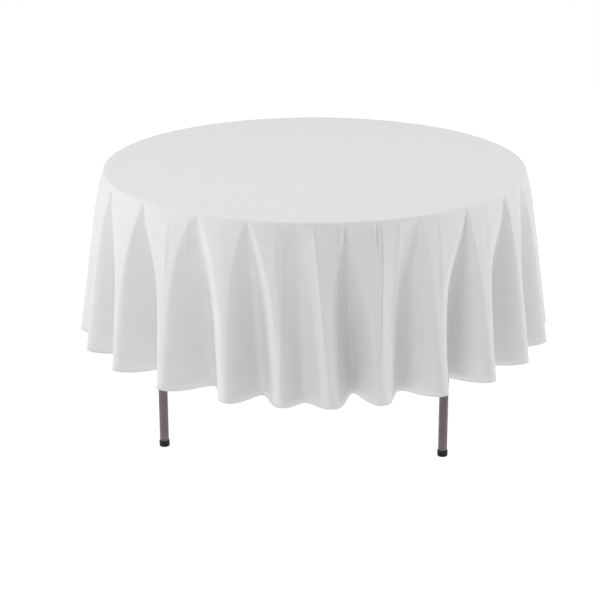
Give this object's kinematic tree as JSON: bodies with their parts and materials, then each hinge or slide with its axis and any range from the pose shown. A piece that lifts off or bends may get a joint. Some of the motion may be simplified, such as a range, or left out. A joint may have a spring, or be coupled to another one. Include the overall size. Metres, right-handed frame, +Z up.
{
  "type": "tablecloth on a folding table",
  "caption": "Round white tablecloth hanging in cone-shaped folds over a round folding table with braced steel tube legs that fold flat.",
  "frame": {"origin": "on the floor under the middle of the table top", "axes": "+Z up; -Y towards the front leg frame; +X to the right for someone who faces the front; both leg frames turn about axes parallel to X"},
  "size_m": [1.3898, 1.3931, 0.739],
  "materials": {
    "cloth_white": "matte",
    "moulded_top": "satin",
    "leg_paint": "satin",
    "black_plastic": "satin",
    "zinc_steel": "satin"
  },
  "bodies": {
    "table": {"table_top": "moulded_top", "side_rail_left": "leg_paint", "side_rail_right": "leg_paint", "rail_screw_left_1": "zinc_steel", "rail_screw_left_2": "zinc_steel", "rail_screw_left_3": "zinc_steel", "rail_screw_left_4": "zinc_steel", "rail_screw_right_1": "zinc_steel", "rail_screw_right_2": "zinc_steel", "rail_screw_right_3": "zinc_steel", "rail_screw_right_4": "zinc_steel", "bracket_screw_front_1": "zinc_steel", "bracket_screw_front_2": "zinc_steel", "bracket_screw_rear_1": "zinc_steel", "bracket_screw_rear_2": "zinc_steel", "front_anchor_bracket": "zinc_steel", "front_anchor_pin": "zinc_steel", "rear_anchor_bracket": "zinc_steel", "rear_anchor_pin": "zinc_steel"},
    "front_legs": {"front_pivot_tube": "leg_paint", "front_leg_left": "leg_paint", "front_leg_right": "leg_paint", "front_crossbar": "leg_paint", "front_brace_tab": "leg_paint", "front_leg_pin": "zinc_steel", "front_foot_cap_left": "black_plastic", "front_foot_cap_right": "black_plastic", "front_pivot_plug_left": "black_plastic", "front_pivot_plug_right": "black_plastic"},
    "front_brace_upper": {"front_upper_link": "zinc_steel", "front_elbow_rivet_upper": "zinc_steel"},
    "front_brace_lower": {"front_lower_link": "zinc_steel", "front_elbow_rivet_lower": "zinc_steel"},
    "rear_legs": {"rear_pivot_tube": "leg_paint", "rear_leg_left": "leg_paint", "rear_leg_right": "leg_paint", "rear_crossbar": "leg_paint", "rear_brace_tab": "leg_paint", "rear_leg_pin": "zinc_steel", "rear_foot_cap_left": "black_plastic", "rear_foot_cap_right": "black_plastic", "rear_pivot_plug_left": "black_plastic", "rear_pivot_plug_right": "black_plastic"},
    "rear_brace_upper": {"rear_upper_link": "zinc_steel", "rear_elbow_rivet_upper": "zinc_steel"},
    "rear_brace_lower": {"rear_lower_link": "zinc_steel", "rear_elbow_rivet_lower": "zinc_steel"},
    "cloth": {"tablecloth": "cloth_white"}
  },
  "joints": [
    {"name": "front_leg_fold", "type": "hinge", "parent": "table", "child": "front_legs", "pos_m": [0, -0.38, 0.696], "axis": [1, 0, 0], "range_deg": [0, 90]},
    {"name": "front_brace_anchor", "type": "hinge", "parent": "table", "child": "front_brace_upper", "pos_m": [0, -0.09, 0.696], "axis": [1, 0, 0], "range_deg": [-46.92, 0]},
    {"name": "front_brace_foot", "type": "hinge", "parent": "front_legs", "child": "front_brace_lower", "pos_m": [0, -0.38, 0.386], "axis": [1, 0, 0], "range_deg": [0, 43.1]},
    {"name": "rear_leg_fold", "type": "hinge", "parent": "table", "child": "rear_legs", "pos_m": [0, 0.38, 0.666], "axis": [-1, 0, 0], "range_deg": [0, 90]},
    {"name": "rear_brace_anchor", "type": "hinge", "parent": "table", "child": "rear_brace_upper", "pos_m": [0, 0.12, 0.666], "axis": [-1, 0, 0], "range_deg": [-47.13, 0]},
    {"name": "rear_brace_foot", "type": "hinge", "parent": "rear_legs", "child": "rear_brace_lower", "pos_m": [0, 0.38, 0.386], "axis": [-1, 0, 0], "range_deg": [0, 42.89]},
    {"name": "cloth_lift", "type": "slide", "parent": "table", "child": "cloth", "axis": [0, 0, 1], "range_m": [0, 0.6]}
  ],
  "couplings": [
    {"joint": "front_brace_anchor", "follows": "front_leg_fold", "ratio": -0.52121},
    {"joint": "front_brace_foot", "follows": "front_leg_fold", "ratio": 0.47879},
    {"joint": "rear_brace_anchor", "follows": "rear_leg_fold", "ratio": -0.52357},
    {"joint": "rear_brace_foot", "follows": "rear_leg_fold", "ratio": 0.47643}
  ]
}
